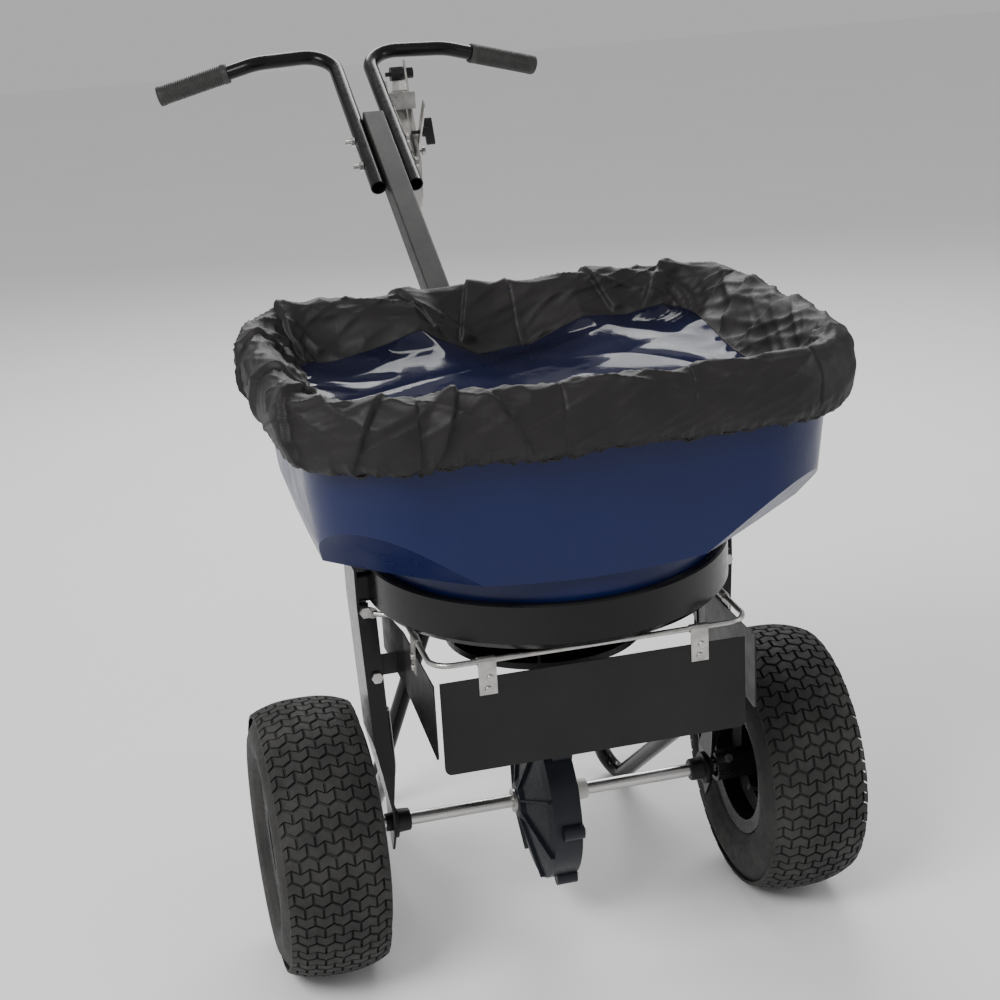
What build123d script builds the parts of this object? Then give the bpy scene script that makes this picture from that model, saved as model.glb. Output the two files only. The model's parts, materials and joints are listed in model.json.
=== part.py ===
from build123d import *
import os
from math import cos, radians, sin

# Walk-behind broadcast spreader. Millimetres, +Z up, -Y forward, standing on z = 0.
# The origin is on the ground, half way along the spreader's length.

os.makedirs("parts", exist_ok=True)

# ---------------------------------------------------------------- driving dimensions
AXLE_Y = -392.5           # the axle, from the middle of the overall length
WHEEL_RADIUS = 165.0      # 13 x 5.00-6 turf tyre
AXLE_Z = WHEEL_RADIUS
AXLE_RADIUS = 7.94        # 5/8 inch bar
AXLE_BORE = 8.0
AXLE_END = 345.0
WHEEL_X = 292.0
TYRE_HALF = 65.0

LIP_Y = -25.3             # round outlet lip, behind the axle
LIP_RADIUS = 199.3
LIP_BOTTOM = 509.0
TUB_TOP = 755.0
WALL = 4.0
BELLY_Z = 536.6           # the tub's floor is a shallow cone about the lip
BELLY_RADIUS = 195.0
BELLY_RISE = 0.2217       # 12.5 degrees
KINK_Z = 592.0            # the tub's sides lean in further below this
MIDDLE_Y = -26.0

RING_RADIUS = 211.0
RING_TOP = 513.0
RING_BOTTOM = 460.0

LEG_HALF = 35.0           # half the leg's depth, front to back
LEG_AT_AXLE = 199.5       # inner face of the leg's web, from low to high
LEG_AT_KNEE = 217.0
LEG_AT_TOP = 224.0
FLANGE = 17.0
SHEET = 3.0

ROD_RADIUS = 3.175        # 1/4 inch deflector rod
ROD_Z = 452.0
ROD_FRONT_Y = -209.0
ROD_SIDE_X = 179.0

SHAFT_RADIUS = 6.35       # 1/2 inch impeller shaft
IMPELLER_RADIUS = 118.0
IMPELLER_Z = 386.0
GATE_Z = 436.4

CROWN_X = -14.0           # face where the crown gear and the pinion meet
CROWN_TEETH = 48
PINION_TEETH = 8
CROWN_RADIUS = 92.0

POST_SIDE = 32.0
POST_TOP_Y = 868.0
POST_TOP_Z = 878.5
POST_LENGTH = 716.0
POST_SLOPE = 25.76        # degrees above level
TUBE_RADIUS = 11.5
TUBE_X = POST_SIDE / 2 + TUBE_RADIUS

STAND_RADIUS = 11.0

PIVOT_Y = 948.0           # the lever and the rate stop turn about this line
PIVOT_Z = 812.0
LEVER_ARM = 45.0          # pivot to the control rod's pin
GATE_ARM = 72.0           # impeller axis to the control rod's pin
GATE_REST = 12.34         # degrees, the gate arm's angle when shut
LEVER_REST = 20.0         # degrees, the lever's lower arm behind the vertical when shut


# ---------------------------------------------------------------- planes and helpers
def level(z, x=0.0, y=0.0):
    """Level plane at height z, with its origin x across and y behind the axle."""
    return Plane((x, AXLE_Y + y, z))


def side(x, y=0.0, z=0.0):
    """Upright fore-and-aft plane: local x runs back from the axle, local y runs up."""
    return Plane((x, AXLE_Y + y, z), x_dir=(0, 1, 0), z_dir=(1, 0, 0))


def front(y, x=0.0, z=0.0):
    """Upright plane across the spreader, facing forward: local x is X, local y is Z."""
    return Plane((x, AXLE_Y + y, z), x_dir=(1, 0, 0), z_dir=(0, -1, 0))


def at(x, y, z):
    """A point given from the axle's line."""
    return Vector(x, AXLE_Y + y, z)


def across(x=0.0):
    """Plane for profiles revolved about the axle: local x is X, local y is the radius."""
    return Plane((x, AXLE_Y, AXLE_Z), x_dir=(1, 0, 0), z_dir=(0, -1, 0))


def along(start, end):
    """Plane at start that faces end."""
    return Plane(start, z_dir=end - start)


AXLE_LINE = Axis((0, AXLE_Y, AXLE_Z), (1, 0, 0))
LIP_LINE = Axis((0, AXLE_Y + LIP_Y, 0), (0, 0, 1))
LIP_PLANE = Plane((0, AXLE_Y + LIP_Y, 0), x_dir=(1, 0, 0), z_dir=(0, -1, 0))
POST_DIR = Vector(0, cos(radians(POST_SLOPE)), sin(radians(POST_SLOPE)))
POST_TOP = at(0, POST_TOP_Y, POST_TOP_Z)
POST_FOOT = POST_TOP - POST_DIR * POST_LENGTH


def post_point(distance, x=0.0):
    """A point on the post's centre line, distance below its top, moved x across."""
    return POST_TOP - POST_DIR * distance + Vector(x, 0, 0)


def polygon(points):
    """A filled outline through the points."""
    with BuildSketch() as sketch:
        with BuildLine():
            Polyline(*points, close=True)
        make_face()
    return sketch.sketch


def revolved(plane, points, axis):
    """A ring with the given section."""
    with BuildPart() as ring:
        with BuildSketch(plane):
            add(polygon(points))
        revolve(axis=axis)
    return ring.part


def rod(start, end, radius):
    """A round bar from start to end."""
    with BuildPart() as bar:
        with BuildSketch(along(start, end)):
            Circle(radius)
        extrude(amount=(end - start).length)
    return bar.part


def bent_tube(points, radii, radius, bore=0.0):
    """A round tube or rod bent through the points, with a bend radius at each corner."""
    with BuildPart() as tube:
        with BuildLine() as path:
            FilletPolyline(*points, radius=radii)
        with BuildSketch(along(points[0], points[1])):
            Circle(radius)
            if bore:
                Circle(bore, mode=Mode.SUBTRACT)
        sweep(path=path.line)
    return tube.part


def hex_bolt(plane, radius, shank=0.0):
    """A hexagon head standing on the plane, and any shank going down through it."""
    with BuildPart() as bolt:
        with BuildSketch(plane):
            RegularPolygon(radius * 1.75, 6)
        extrude(amount=radius * 1.3)
        if shank:
            with BuildSketch(plane):
                Circle(radius)
            extrude(amount=-shank)
    return bolt.part


def domed_screw(plane, radius):
    """A round screw head standing on the plane."""
    with BuildPart() as screw:
        with BuildSketch(plane):
            Circle(radius * 1.9)
        head = extrude(amount=radius * 1.1)
        fillet(head.edges().filter_by(GeomType.CIRCLE).sort_by(SortBy.DISTANCE)[-1:], radius * 0.6)
    return screw.part


def group(solids):
    """Several separate solids kept as one piece."""
    with BuildPart() as pieces:
        for solid in solids:
            add(solid)
    return pieces.part


# ================================================================ wheels
for name, s in (("left", -1), ("right", 1)):
    hub_inner = 80.0 if s > 0 else 60.0
    with BuildPart() as rim:
        with BuildSketch(across(s * WHEEL_X)):
            add(polygon([
                (-52, 89.5), (-49.5, 89.5), (-47.5, 76), (-26, 75), (-18, 64), (18, 64),
                (26, 75), (47.5, 76), (49.5, 89.5), (52, 89.5), (50.2, 73), (27.4, 72.2),
                (19.4, 61), (-19.4, 61), (-27.4, 72.2), (-50.2, 73),
            ]))
            add(polygon([
                (0, 62), (4 * s, 62), (9 * s, 54), (24 * s, 30), (27 * s, 18), (24 * s, 18),
                (21 * s, 29), (6 * s, 52),
            ]))
            add(polygon([
                (-hub_inner * s, 14), (42 * s, 14), (42 * s, 19), (-hub_inner * s, 19),
            ]))
        revolve(axis=AXLE_LINE)
        if s > 0:
            with Locations(Plane(at(226, 0, AXLE_Z), z_dir=(0, -1, 1))):
                Hole(3.3)
    rim.part.label = f"{name}_rim"
    export_step(rim.part, f"parts/{name}_rim.step")

    with BuildPart() as tyre:
        with BuildSketch(across(s * WHEEL_X)):
            with BuildLine():
                Polyline((-46.8, 76.3), (-49.1, 90.3), (-53.5, 92.5))
                ThreePointArc((-53.5, 92.5), (-TYRE_HALF, 126), (-57, 154))
                ThreePointArc((-57, 154), (-52, 161), (-44, 163.6))
                ThreePointArc((-44, 163.6), (0, WHEEL_RADIUS), (44, 163.6))
                ThreePointArc((44, 163.6), (52, 161), (57, 154))
                ThreePointArc((57, 154), (TYRE_HALF, 126), (53.5, 92.5))
                Polyline(
                    (53.5, 92.5), (49.1, 90.3), (46.8, 76.3), (36, 76.3), (44, 92), (57, 126), (48, 150),
                    (38, 155), (-38, 155), (-48, 150), (-57, 126), (-44, 92), (-36, 76.3), (-46.8, 76.3),
                )
            make_face()
        revolve(axis=AXLE_LINE)
    tyre.part.label = f"{name}_tyre"
    export_step(tyre.part, f"parts/{name}_tyre.step")

    # rubber valve standing in the rim's well
    valve_root = at(s * (WHEEL_X - 9), 0, AXLE_Z - 60.2)
    valve_bend = at(s * (WHEEL_X - 9), 0, AXLE_Z - 47)
    valve_tip = at(s * (WHEEL_X - 34), 0, AXLE_Z - 38)
    with BuildPart() as valve:
        add(rod(valve_root, valve_bend, 4.0))
        add(rod(valve_bend, valve_tip, 4.0))
    valve.part.label = f"{name}_valve_stem"
    export_step(valve.part, f"parts/{name}_valve_stem.step")

# plastic bushings pressed into both ends of the two hub tubes
hub_bushings = {}
for name, s, inner in (("left", -1, 60.0), ("right", 1, 80.0)):
    rings = []
    for end, out in ((-inner, -1), (42.0, 1)):
        rings.append(revolved(across(s * WHEEL_X), [
            (s * end, 8.0), (s * (end + 3 * out), 8.0), (s * (end + 3 * out), 18.5),
            (s * end, 18.5), (s * end, 14), (s * (end - 14 * out), 14), (s * (end - 14 * out), 8.0),
        ], AXLE_LINE))
    hub_bushings[name] = rings
with BuildPart() as left_hub_bushings:
    for ring in hub_bushings["left"]:
        add(ring)
left_hub_bushings.part.label = "left_hub_bushings"
export_step(left_hub_bushings.part, "parts/left_hub_bushings.step")

# ================================================================ axle and what turns with it
BOLT_PLANE = Plane(at(226, 0, AXLE_Z) + Vector(0, -1, 1).normalized() * 19.2, z_dir=(0, -1, 1))
with BuildPart() as axle:
    with BuildSketch(side(-AXLE_END)):
        with Locations((0, AXLE_Z)):
            Circle(AXLE_RADIUS)
    extrude(amount=2 * AXLE_END)
    for x in (-AXLE_END + 5, AXLE_END - 5):
        with Locations(Plane(at(x, 0, AXLE_Z), z_dir=(0, 0, 1))):
            Hole(1.7)
    with Locations(Plane(at(226, 0, AXLE_Z), z_dir=(0, -1, 1))):
        Hole(3.3)
axle.part.label = "axle"
export_step(axle.part, "parts/axle.step")

with BuildPart() as drive_wheel_bolt:
    add(hex_bolt(BOLT_PLANE, 3.2, 38.4))
    with BuildSketch(Plane(at(226, 0, AXLE_Z) - Vector(0, -1, 1).normalized() * 19.2, z_dir=(0, 1, -1))):
        RegularPolygon(5.6, 6)
    extrude(amount=5)
drive_wheel_bolt.part.label = "drive_wheel_bolt"
export_step(drive_wheel_bolt.part, "parts/drive_wheel_bolt.step")

with BuildPart() as axle_washers:
    for s in (-1, 1):
        add(revolved(across(), [
            (s * 337.1, AXLE_BORE), (s * 338.3, AXLE_BORE), (s * 338.3, 14), (s * 337.1, 14),
        ], AXLE_LINE))
axle_washers.part.label = "axle_washers"
export_step(axle_washers.part, "parts/axle_washers.step")

with BuildPart() as axle_cotters:
    for s in (-1, 1):
        x = s * (AXLE_END - 5)
        add(rod(at(x, 0, AXLE_Z - 17), at(x, 0, AXLE_Z + 11), 1.6))
        with BuildSketch(side(x - 1.3)):
            with Locations((0, AXLE_Z + 14)):
                Circle(4.6)
                Circle(2.2, mode=Mode.SUBTRACT)
        extrude(amount=2.6)
axle_cotters.part.label = "axle_cotters"
export_step(axle_cotters.part, "parts/axle_cotters.step")

with BuildPart() as crown_gear:
    with BuildSketch(across()):
        add(polygon([
            (-27, AXLE_RADIUS), (-9, AXLE_RADIUS), (-9, 18), (-17, 22), (-17, 76), (CROWN_X - 2.4, 76),
            (CROWN_X - 2.4, CROWN_RADIUS), (-19.6, CROWN_RADIUS), (-19.6, 24), (-27, 20),
        ]))
    revolve(axis=AXLE_LINE)
    with BuildSketch(Plane(at(CROWN_X - 2.6, 0, AXLE_Z), x_dir=(0, 1, 0), z_dir=(1, 0, 0))):
        with PolarLocations((76 + CROWN_RADIUS) / 2, CROWN_TEETH, start_angle=90 + 180 / CROWN_TEETH):
            Rectangle(CROWN_RADIUS - 76, 4.4)
    extrude(amount=4.6, taper=8)
crown_gear.part.label = "crown_gear"
export_step(crown_gear.part, "parts/crown_gear.step")

with BuildPart() as gearbox_washer:
    add(revolved(across(), [(-50.5, AXLE_BORE), (-46.5, AXLE_BORE), (-46.5, 14.5), (-50.5, 14.5)], AXLE_LINE))
gearbox_washer.part.label = "gearbox_washer"
export_step(gearbox_washer.part, "parts/gearbox_washer.step")

with BuildPart() as gearbox_collar:
    add(revolved(across(), [(30.5, AXLE_BORE), (44, AXLE_BORE), (44, 12), (30.5, 13.5)], AXLE_LINE))
gearbox_collar.part.label = "gearbox_collar"
export_step(gearbox_collar.part, "parts/gearbox_collar.step")

# ================================================================ impeller and its drive
with BuildPart() as impeller_shaft:
    with BuildSketch(level(AXLE_Z + 70)):
        Circle(SHAFT_RADIUS)
    extrude(amount=475 - AXLE_Z - 70)
    with Locations(Plane(at(0, 0, 466), z_dir=(1, 0, 0))):
        Hole(2.5)
impeller_shaft.part.label = "impeller_shaft"
export_step(impeller_shaft.part, "parts/impeller_shaft.step")

with BuildPart() as pinion_gear:
    with BuildSketch(level(AXLE_Z + 76.5)):
        Circle(11.2)
        with PolarLocations(12.6, PINION_TEETH):
            Rectangle(6.4, 4.0)
        Circle(SHAFT_RADIUS, mode=Mode.SUBTRACT)
    extrude(amount=15)
    with BuildSketch(level(AXLE_Z + 91.5)):
        Circle(11)
        Circle(SHAFT_RADIUS, mode=Mode.SUBTRACT)
    extrude(amount=6)
pinion_gear.part.label = "pinion_gear"
export_step(pinion_gear.part, "parts/pinion_gear.step")

with BuildPart() as impeller:
    with BuildSketch(level(IMPELLER_Z)):
        Circle(IMPELLER_RADIUS)
        Circle(SHAFT_RADIUS, mode=Mode.SUBTRACT)
    extrude(amount=SHEET)
    with BuildSketch(level(IMPELLER_Z)):
        Circle(17)
        Circle(SHAFT_RADIUS, mode=Mode.SUBTRACT)
    extrude(amount=38)
    with BuildSketch(level(IMPELLER_Z)):
        with PolarLocations(67, 6, start_angle=12):
            Rectangle(102, SHEET)
    extrude(amount=36)
    with BuildSketch(level(IMPELLER_Z)):
        Circle(IMPELLER_RADIUS)
        Circle(IMPELLER_RADIUS - 2.5, mode=Mode.SUBTRACT)
    extrude(amount=8)
impeller.part.label = "impeller"
export_step(impeller.part, "parts/impeller.step")

with BuildPart() as agitator_pin:
    add(rod(at(-36, 0, 466), at(36, 0, 466), 2.5))
agitator_pin.part.label = "agitator_pin"
export_step(agitator_pin.part, "parts/agitator_pin.step")

# ================================================================ gearbox case
CASE_SPLIT = 0.0
CASE_RADIUS = 99.0
BOSS_ANGLES = (0, 55, 125, 180, 235, 270, 305)


def case_bosses(x0, x1):
    """Screw bosses round the rim of the gearbox case, from x0 to x1."""
    with BuildPart() as bosses:
        with BuildSketch(side(x0)):
            with Locations((0, AXLE_Z)):
                for angle in BOSS_ANGLES:
                    with PolarLocations(CASE_RADIUS + 2, 1, start_angle=angle):
                        Circle(9)
        extrude(amount=x1 - x0)
    return bosses.part


def case_cavity():
    """Room inside the gearbox case for the gears and the shaft's foot."""
    with BuildPart() as cavity:
        add(revolved(across(), [
            (-40, 0), (6.6, 0), (6.6, CASE_RADIUS - 3.4), (-21.5, CASE_RADIUS - 3.4), (-25, 82),
            (-36.5, 26), (-40, 18),
        ], AXLE_LINE))
        with BuildSketch(level(AXLE_Z + 64)):
            Circle(19)
        extrude(amount=54)
        with BuildSketch(level(AXLE_Z)):
            Circle(SHAFT_RADIUS + 0.06)
        extrude(amount=140)
        with BuildSketch(side(-60)):
            with Locations((0, AXLE_Z)):
                Circle(AXLE_BORE)
        extrude(amount=120)
    return cavity.part


with BuildPart() as case_body:
    add(revolved(across(), [
        (-46, 0), (-46, 20), (-40, 28), (-28, 84), (-24, CASE_RADIUS), (10, CASE_RADIUS), (10, 32),
        (17, 24), (30, 19), (30, 0),
    ], AXLE_LINE))
    with BuildSketch(level(AXLE_Z + 60)):
        Circle(24)
    extrude(amount=66)
    add(case_bosses(-15, 10))
    # stiffening ribs standing on the cone of the left half
    with BuildSketch(side(-46)):
        with Locations((0, AXLE_Z)):
            with PolarLocations(56, 8, start_angle=22.5):
                Rectangle(84, 2.6)
    extrude(amount=24)
    add(revolved(across(), [(-60, 18), (-46, 18), (-29, 98.5), (-60, 98.5)], AXLE_LINE), mode=Mode.SUBTRACT)
    add(case_cavity(), mode=Mode.SUBTRACT)

with BuildPart() as gearbox_case_left:
    add(case_body.part)
    split(bisect_by=side(CASE_SPLIT), keep=Keep.BOTTOM)
gearbox_case_left.part.label = "gearbox_case_left"
export_step(gearbox_case_left.part, "parts/gearbox_case_left.step")

with BuildPart() as gearbox_case_right:
    add(case_body.part)
    split(bisect_by=side(CASE_SPLIT), keep=Keep.TOP)
gearbox_case_right.part.label = "gearbox_case_right"
export_step(gearbox_case_right.part, "parts/gearbox_case_right.step")

with BuildPart() as gearbox_screws:
    for angle in BOSS_ANGLES:
        y = (CASE_RADIUS + 2) * cos(radians(angle))
        z = AXLE_Z + (CASE_RADIUS + 2) * sin(radians(angle))
        add(domed_screw(Plane(at(10, y, z), z_dir=(1, 0, 0)), 2.4))
gearbox_screws.part.label = "gearbox_screws"
export_step(gearbox_screws.part, "parts/gearbox_screws.step")

# ================================================================ hopper
FRONT_CORNERS = 1.4       # the front corners are rounder than the back ones


def tub_outline(plane, half, front_y, back_y, corner):
    """Rounded oblong with a gently bowed front and back."""
    bow = 7.0
    with BuildSketch(plane) as outline:
        with BuildLine():
            ThreePointArc((-half, front_y + bow), (0, front_y), (half, front_y + bow))
            Line((half, front_y + bow), (half, back_y - bow))
            ThreePointArc((half, back_y - bow), (0, back_y), (-half, back_y - bow))
            Line((-half, back_y - bow), (-half, front_y + bow))
        make_face()
        fillet(outline.vertices().group_by(Axis.Y)[0], FRONT_CORNERS * corner)
        fillet(outline.vertices().group_by(Axis.Y)[-1], corner)
    return outline.sketch


def tub(inset, low=500.0):
    """The flaring upper body of the hopper, inset by a wall's thickness."""
    with BuildPart() as body:
        add(tub_outline(level(low), 257 - inset, -231 + inset, 178 - inset, 66 - inset))
        add(tub_outline(level(KINK_Z), 282 - inset, -240 + inset, 185 - inset, 72 - inset))
        add(tub_outline(level(TUB_TOP), 297 - inset, -255 + inset, 196 - inset, 80 - inset))
        loft(ruled=True)
    return body.part


def under_corners(inset):
    """Sloping planes that cut the tub's four lower corners, moved in by inset. Each faces the part that stays."""
    planes = []
    for x in (-1, 1):
        for y in (-1, 1):
            inwards = Vector(-x * 0.4645, -y * 0.5486, 0.6953)
            point = at(x * 131, MIDDLE_Y + y * 210, 554)
            planes.append(Plane(point + inwards * inset, z_dir=inwards))
    return planes


def under_cone(rise):
    """Everything below the shallow cone that cuts the tub's floor, raised by rise."""
    return revolved(LIP_PLANE, [
        (0, 400), (600, 400), (600, BELLY_Z + rise + (600 - BELLY_RADIUS) * BELLY_RISE),
        (BELLY_RADIUS, BELLY_Z + rise), (0, BELLY_Z + rise),
    ], LIP_LINE)


FLOOR_TOP = 444.0
FLOOR_RADIUS = 76.0

with BuildPart() as hopper:
    add(tub(0))
    add(under_cone(0), mode=Mode.SUBTRACT)
    for plane in under_corners(0):
        split(bisect_by=plane, keep=Keep.TOP)
    # outlet lip and the funnel below it, round about the lip's centre and the shaft
    with BuildSketch(level(LIP_BOTTOM, y=LIP_Y)):
        Circle(LIP_RADIUS)
    extrude(amount=560 - LIP_BOTTOM)
    with BuildSketch(level(LIP_BOTTOM, y=LIP_Y)):
        Circle(LIP_RADIUS - 6)
    with BuildSketch(level(FLOOR_TOP - WALL)):
        Circle(FLOOR_RADIUS + WALL)
    loft(ruled=True)
    # rolled rim
    rim_lip = tub_outline(level(TUB_TOP - 5), 305, -263, 204, 88)
    extrude(rim_lip, amount=7)
    # hollow
    with BuildPart(mode=Mode.PRIVATE) as room:
        add(tub(WALL))
        add(under_cone(WALL), mode=Mode.SUBTRACT)
        for plane in under_corners(WALL):
            split(bisect_by=plane, keep=Keep.TOP)
        mouth = tub_outline(level(TUB_TOP - 0.5), 292.5, -251, 192, 76)
        extrude(mouth, amount=10)
        with BuildSketch(level(LIP_BOTTOM + WALL, y=LIP_Y)):
            Circle(LIP_RADIUS - WALL)
        extrude(amount=560 - LIP_BOTTOM)
        with BuildSketch(level(LIP_BOTTOM + WALL, y=LIP_Y)):
            Circle(LIP_RADIUS - WALL)
        with BuildSketch(level(FLOOR_TOP)):
            Circle(FLOOR_RADIUS)
        loft(ruled=True)
    add(room.part, mode=Mode.SUBTRACT)
    # three outlet ports and the shaft's hole
    with BuildSketch(level(FLOOR_TOP + 1)):
        with PolarLocations(46, 3, start_angle=90):
            SlotOverall(34, 17, rotation=0)
        Circle(SHAFT_RADIUS + 0.5)
    extrude(amount=-12, mode=Mode.SUBTRACT)
hopper.part.label = "hopper"
export_step(hopper.part, "parts/hopper.step")

# ================================================================ rain cover
SEAM_Z = 706.0            # the seam where the cover's band meets its window
SEAM_HALF = 246.0
SEAM_FRONT = -199.0
SEAM_BACK = 140.0
SEAM_CORNER = 58.0
with BuildPart() as rain_cover:
    # skirt round the outside of the rim
    add(tub_outline(level(692), 312, -269, 210, 94))
    add(tub_outline(level(764), 315, -272, 213, 94))
    loft(ruled=True)
    with BuildPart(mode=Mode.PRIVATE) as skirt_room:
        add(tub_outline(level(690), 309, -266, 207, 91))
        add(tub_outline(level(760.5), 311.5, -268.5, 209.5, 91))
        loft(ruled=True)
    add(skirt_room.part, mode=Mode.SUBTRACT)
    # band that slopes down into the hopper's mouth, open in the middle for the window
    with BuildPart(mode=Mode.PRIVATE) as hollow_mouth:
        add(tub_outline(level(SEAM_Z - 1), SEAM_HALF - 4, SEAM_FRONT + 4, SEAM_BACK - 4, SEAM_CORNER - 4))
        add(tub_outline(level(764.5), 285, -243, 184, 72))
        loft(ruled=True)
    add(hollow_mouth.part, mode=Mode.SUBTRACT)
    with BuildPart(mode=Mode.PRIVATE) as band:
        add(tub_outline(level(SEAM_Z), SEAM_HALF, SEAM_FRONT, SEAM_BACK, SEAM_CORNER))
        add(tub_outline(level(763.5), 289, -247, 188, 76))
        loft(ruled=True)
        add(hollow_mouth.part, mode=Mode.SUBTRACT)
    add(band.part)
rain_cover.part.label = "rain_cover"
export_step(rain_cover.part, "parts/rain_cover.step")

with BuildPart() as cover_window:
    extrude(tub_outline(level(SEAM_Z - 2.6), SEAM_HALF, SEAM_FRONT, SEAM_BACK, SEAM_CORNER), amount=2.4)
cover_window.part.label = "cover_window"
export_step(cover_window.part, "parts/cover_window.step")

# ================================================================ support ring
with BuildPart() as support_ring:
    r = RING_RADIUS
    add(revolved(LIP_PLANE, [
        (r - 9.5, RING_TOP), (r - 2, RING_TOP), (r, RING_TOP - 2), (r, RING_BOTTOM + 8), (r - 8, RING_BOTTOM),
        (152, RING_BOTTOM), (152, RING_BOTTOM + 14), (155, RING_BOTTOM + 14), (155, RING_BOTTOM + SHEET),
        (r - 9.2, RING_BOTTOM + SHEET), (r - SHEET, RING_BOTTOM + 9.2), (r - SHEET, LIP_BOTTOM - SHEET),
        (195, LIP_BOTTOM - SHEET), (195, LIP_BOTTOM), (r - 9.5, LIP_BOTTOM),
    ], LIP_LINE))
    # pads that carry the legs
    for s in (-1, 1):
        with BuildSketch(side(s * (RING_RADIUS - 3.5))):
            with Locations((LIP_Y + 22, 483)):
                RectangleRounded(56, 36, 6)
        extrude(amount=s * (LEG_AT_TOP - 0.05 - RING_RADIUS + 3.5))
support_ring.part.label = "support_ring"
export_step(support_ring.part, "parts/support_ring.step")

# ================================================================ legs
KNEE_Z = 285.0
LEG_TOP_Z = 507.0
LEG_OUTLINE = polygon([
    (0, 127), (19, 155), (21, 189), (LEG_HALF, 243), (LEG_HALF, LEG_TOP_Z),
    (-LEG_HALF, LEG_TOP_Z), (-LEG_HALF, 243), (-21, 189), (-19, 155),
])
LEG_POCKET = offset(LEG_OUTLINE, -SHEET, kind=Kind.INTERSECTION)
WEB_FACE = [
    (LEG_AT_AXLE, 120), (LEG_AT_AXLE, 188), (LEG_AT_KNEE, KNEE_Z), (LEG_AT_TOP, RING_BOTTOM), (LEG_AT_TOP, LEG_TOP_Z),
]
ROD_BOLT = (218.2, 457.0)      # X and Z of the bolt that holds the deflector rod's end
BAFFLE_BOLT = (210.5, 373.0)   # X and Z of the bolt that holds the side baffle's tab


def leg_prism(outline):
    """An outline of the leg's side, run right across the leg."""
    with BuildPart() as prism:
        with BuildSketch(side(170)):
            add(outline)
        extrude(amount=70)
    return prism.part


with BuildPart() as leg_web:
    # the web follows the leg's two slopes
    with BuildSketch(front(-50)):
        add(polygon(WEB_FACE + [(x + SHEET, z) for x, z in reversed(WEB_FACE)]))
    extrude(amount=-100)
    add(leg_prism(LEG_OUTLINE), mode=Mode.INTERSECT)
with BuildPart() as leg_flanges:
    # the flanges turn in towards the ring, stand clear of it, and fade away above the axle
    with BuildSketch(front(-50)):
        add(polygon([
            (LEG_AT_AXLE + 1, 189), (LEG_AT_KNEE + 1, KNEE_Z), (LEG_AT_TOP + 1, 464), (213.5, 466), (213.5, 457),
            (LEG_AT_KNEE + 5.4 - FLANGE, 457), (LEG_AT_KNEE - FLANGE, KNEE_Z), (197.5, 262),
        ]))
    extrude(amount=-100)
    add(leg_prism(LEG_OUTLINE), mode=Mode.INTERSECT)
    add(leg_prism(LEG_POCKET), mode=Mode.SUBTRACT)
with BuildPart() as right_leg:
    add(leg_web.part)
    add(leg_flanges.part)
    with BuildSketch(side(180)):
        with Locations((0, AXLE_Z)):
            Circle(11)
    extrude(amount=40, mode=Mode.SUBTRACT)
right_leg.part.label = "right_leg"
export_step(right_leg.part, "parts/right_leg.step")

with BuildPart() as left_leg:
    mirror(right_leg.part, about=Plane.YZ)
left_leg.part.label = "left_leg"
export_step(left_leg.part, "parts/left_leg.step")

for name, s in (("left", -1), ("right", 1)):
    with BuildPart() as leg_bolts:
        add(hex_bolt(front(-LEG_HALF - ROD_RADIUS - 0.1, s * ROD_BOLT[0], ROD_BOLT[1]), 4.0))
        add(hex_bolt(front(-LEG_HALF - 0.02, s * BAFFLE_BOLT[0], BAFFLE_BOLT[1]), 4.0))
    leg_bolts.part.label = f"{name}_leg_bolts"
    export_step(leg_bolts.part, f"parts/{name}_leg_bolts.step")

    with BuildPart() as bushing:
        add(revolved(across(), [
            (s * 178.5, AXLE_BORE), (s * 178.5, 12), (s * 180, 13.5), (s * 194, 14.5), (s * 195.5, 20),
            (s * 199.4, 20), (s * 199.4, 10.95), (s * 208.5, 10.95), (s * 208.5, AXLE_BORE),
        ], AXLE_LINE))
    bushing.part.label = f"{name}_axle_bushing"
    export_step(bushing.part, f"parts/{name}_axle_bushing.step")

# ================================================================ deflector
ROD_PATH = [
    (209, -38.4, 453.4), (ROD_SIDE_X, -56, ROD_Z), (ROD_SIDE_X, ROD_FRONT_Y, ROD_Z),
    (-ROD_SIDE_X, ROD_FRONT_Y, ROD_Z), (-ROD_SIDE_X, -56, ROD_Z), (-209, -38.4, 453.4),
]
with BuildPart() as deflector_rod:
    add(bent_tube([at(*p) for p in ROD_PATH], [9, 24, 24, 9], ROD_RADIUS))
    for s in (-1, 1):
        # flattened eye under the bolt
        with BuildSketch(front(-LEG_HALF - 0.05)):
            with Locations((s * 213.8, 455.2)):
                SlotCenterToCenter(9.6, 12, rotation=s * 22)
        extrude(amount=ROD_RADIUS)
deflector_rod.part.label = "deflector_rod"
export_step(deflector_rod.part, "parts/deflector_rod.step")

BAFFLE_TOP = 434.0
BAFFLE_LOW = 325.0
BAFFLE_HALF = 173.0
BAFFLE_SHEET = 1.6
BAFFLE_CORNER = 8.0
STRAP = 1.5               # thickness of the clips' strip
TAIL_FACE = ROD_RADIUS + 0.08 + STRAP

with BuildPart() as front_baffle:
    with BuildSketch(front(ROD_FRONT_Y - TAIL_FACE + STRAP + 0.02)):
        add(polygon([
            (-BAFFLE_HALF, BAFFLE_TOP), (-BAFFLE_HALF, BAFFLE_LOW),
            (BAFFLE_HALF, BAFFLE_LOW), (BAFFLE_HALF, BAFFLE_TOP),
        ]))
    extrude(amount=-BAFFLE_SHEET)
    low_corners = front_baffle.edges().filter_by(Axis.Y).group_by(Axis.Z)[0]
    fillet(low_corners, BAFFLE_CORNER)
front_baffle.part.label = "front_baffle"
export_step(front_baffle.part, "parts/front_baffle.step")

CLIP_X = 120.0
CLIP_HALF = 10.0
CLIP_LOW = 414.0


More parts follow.
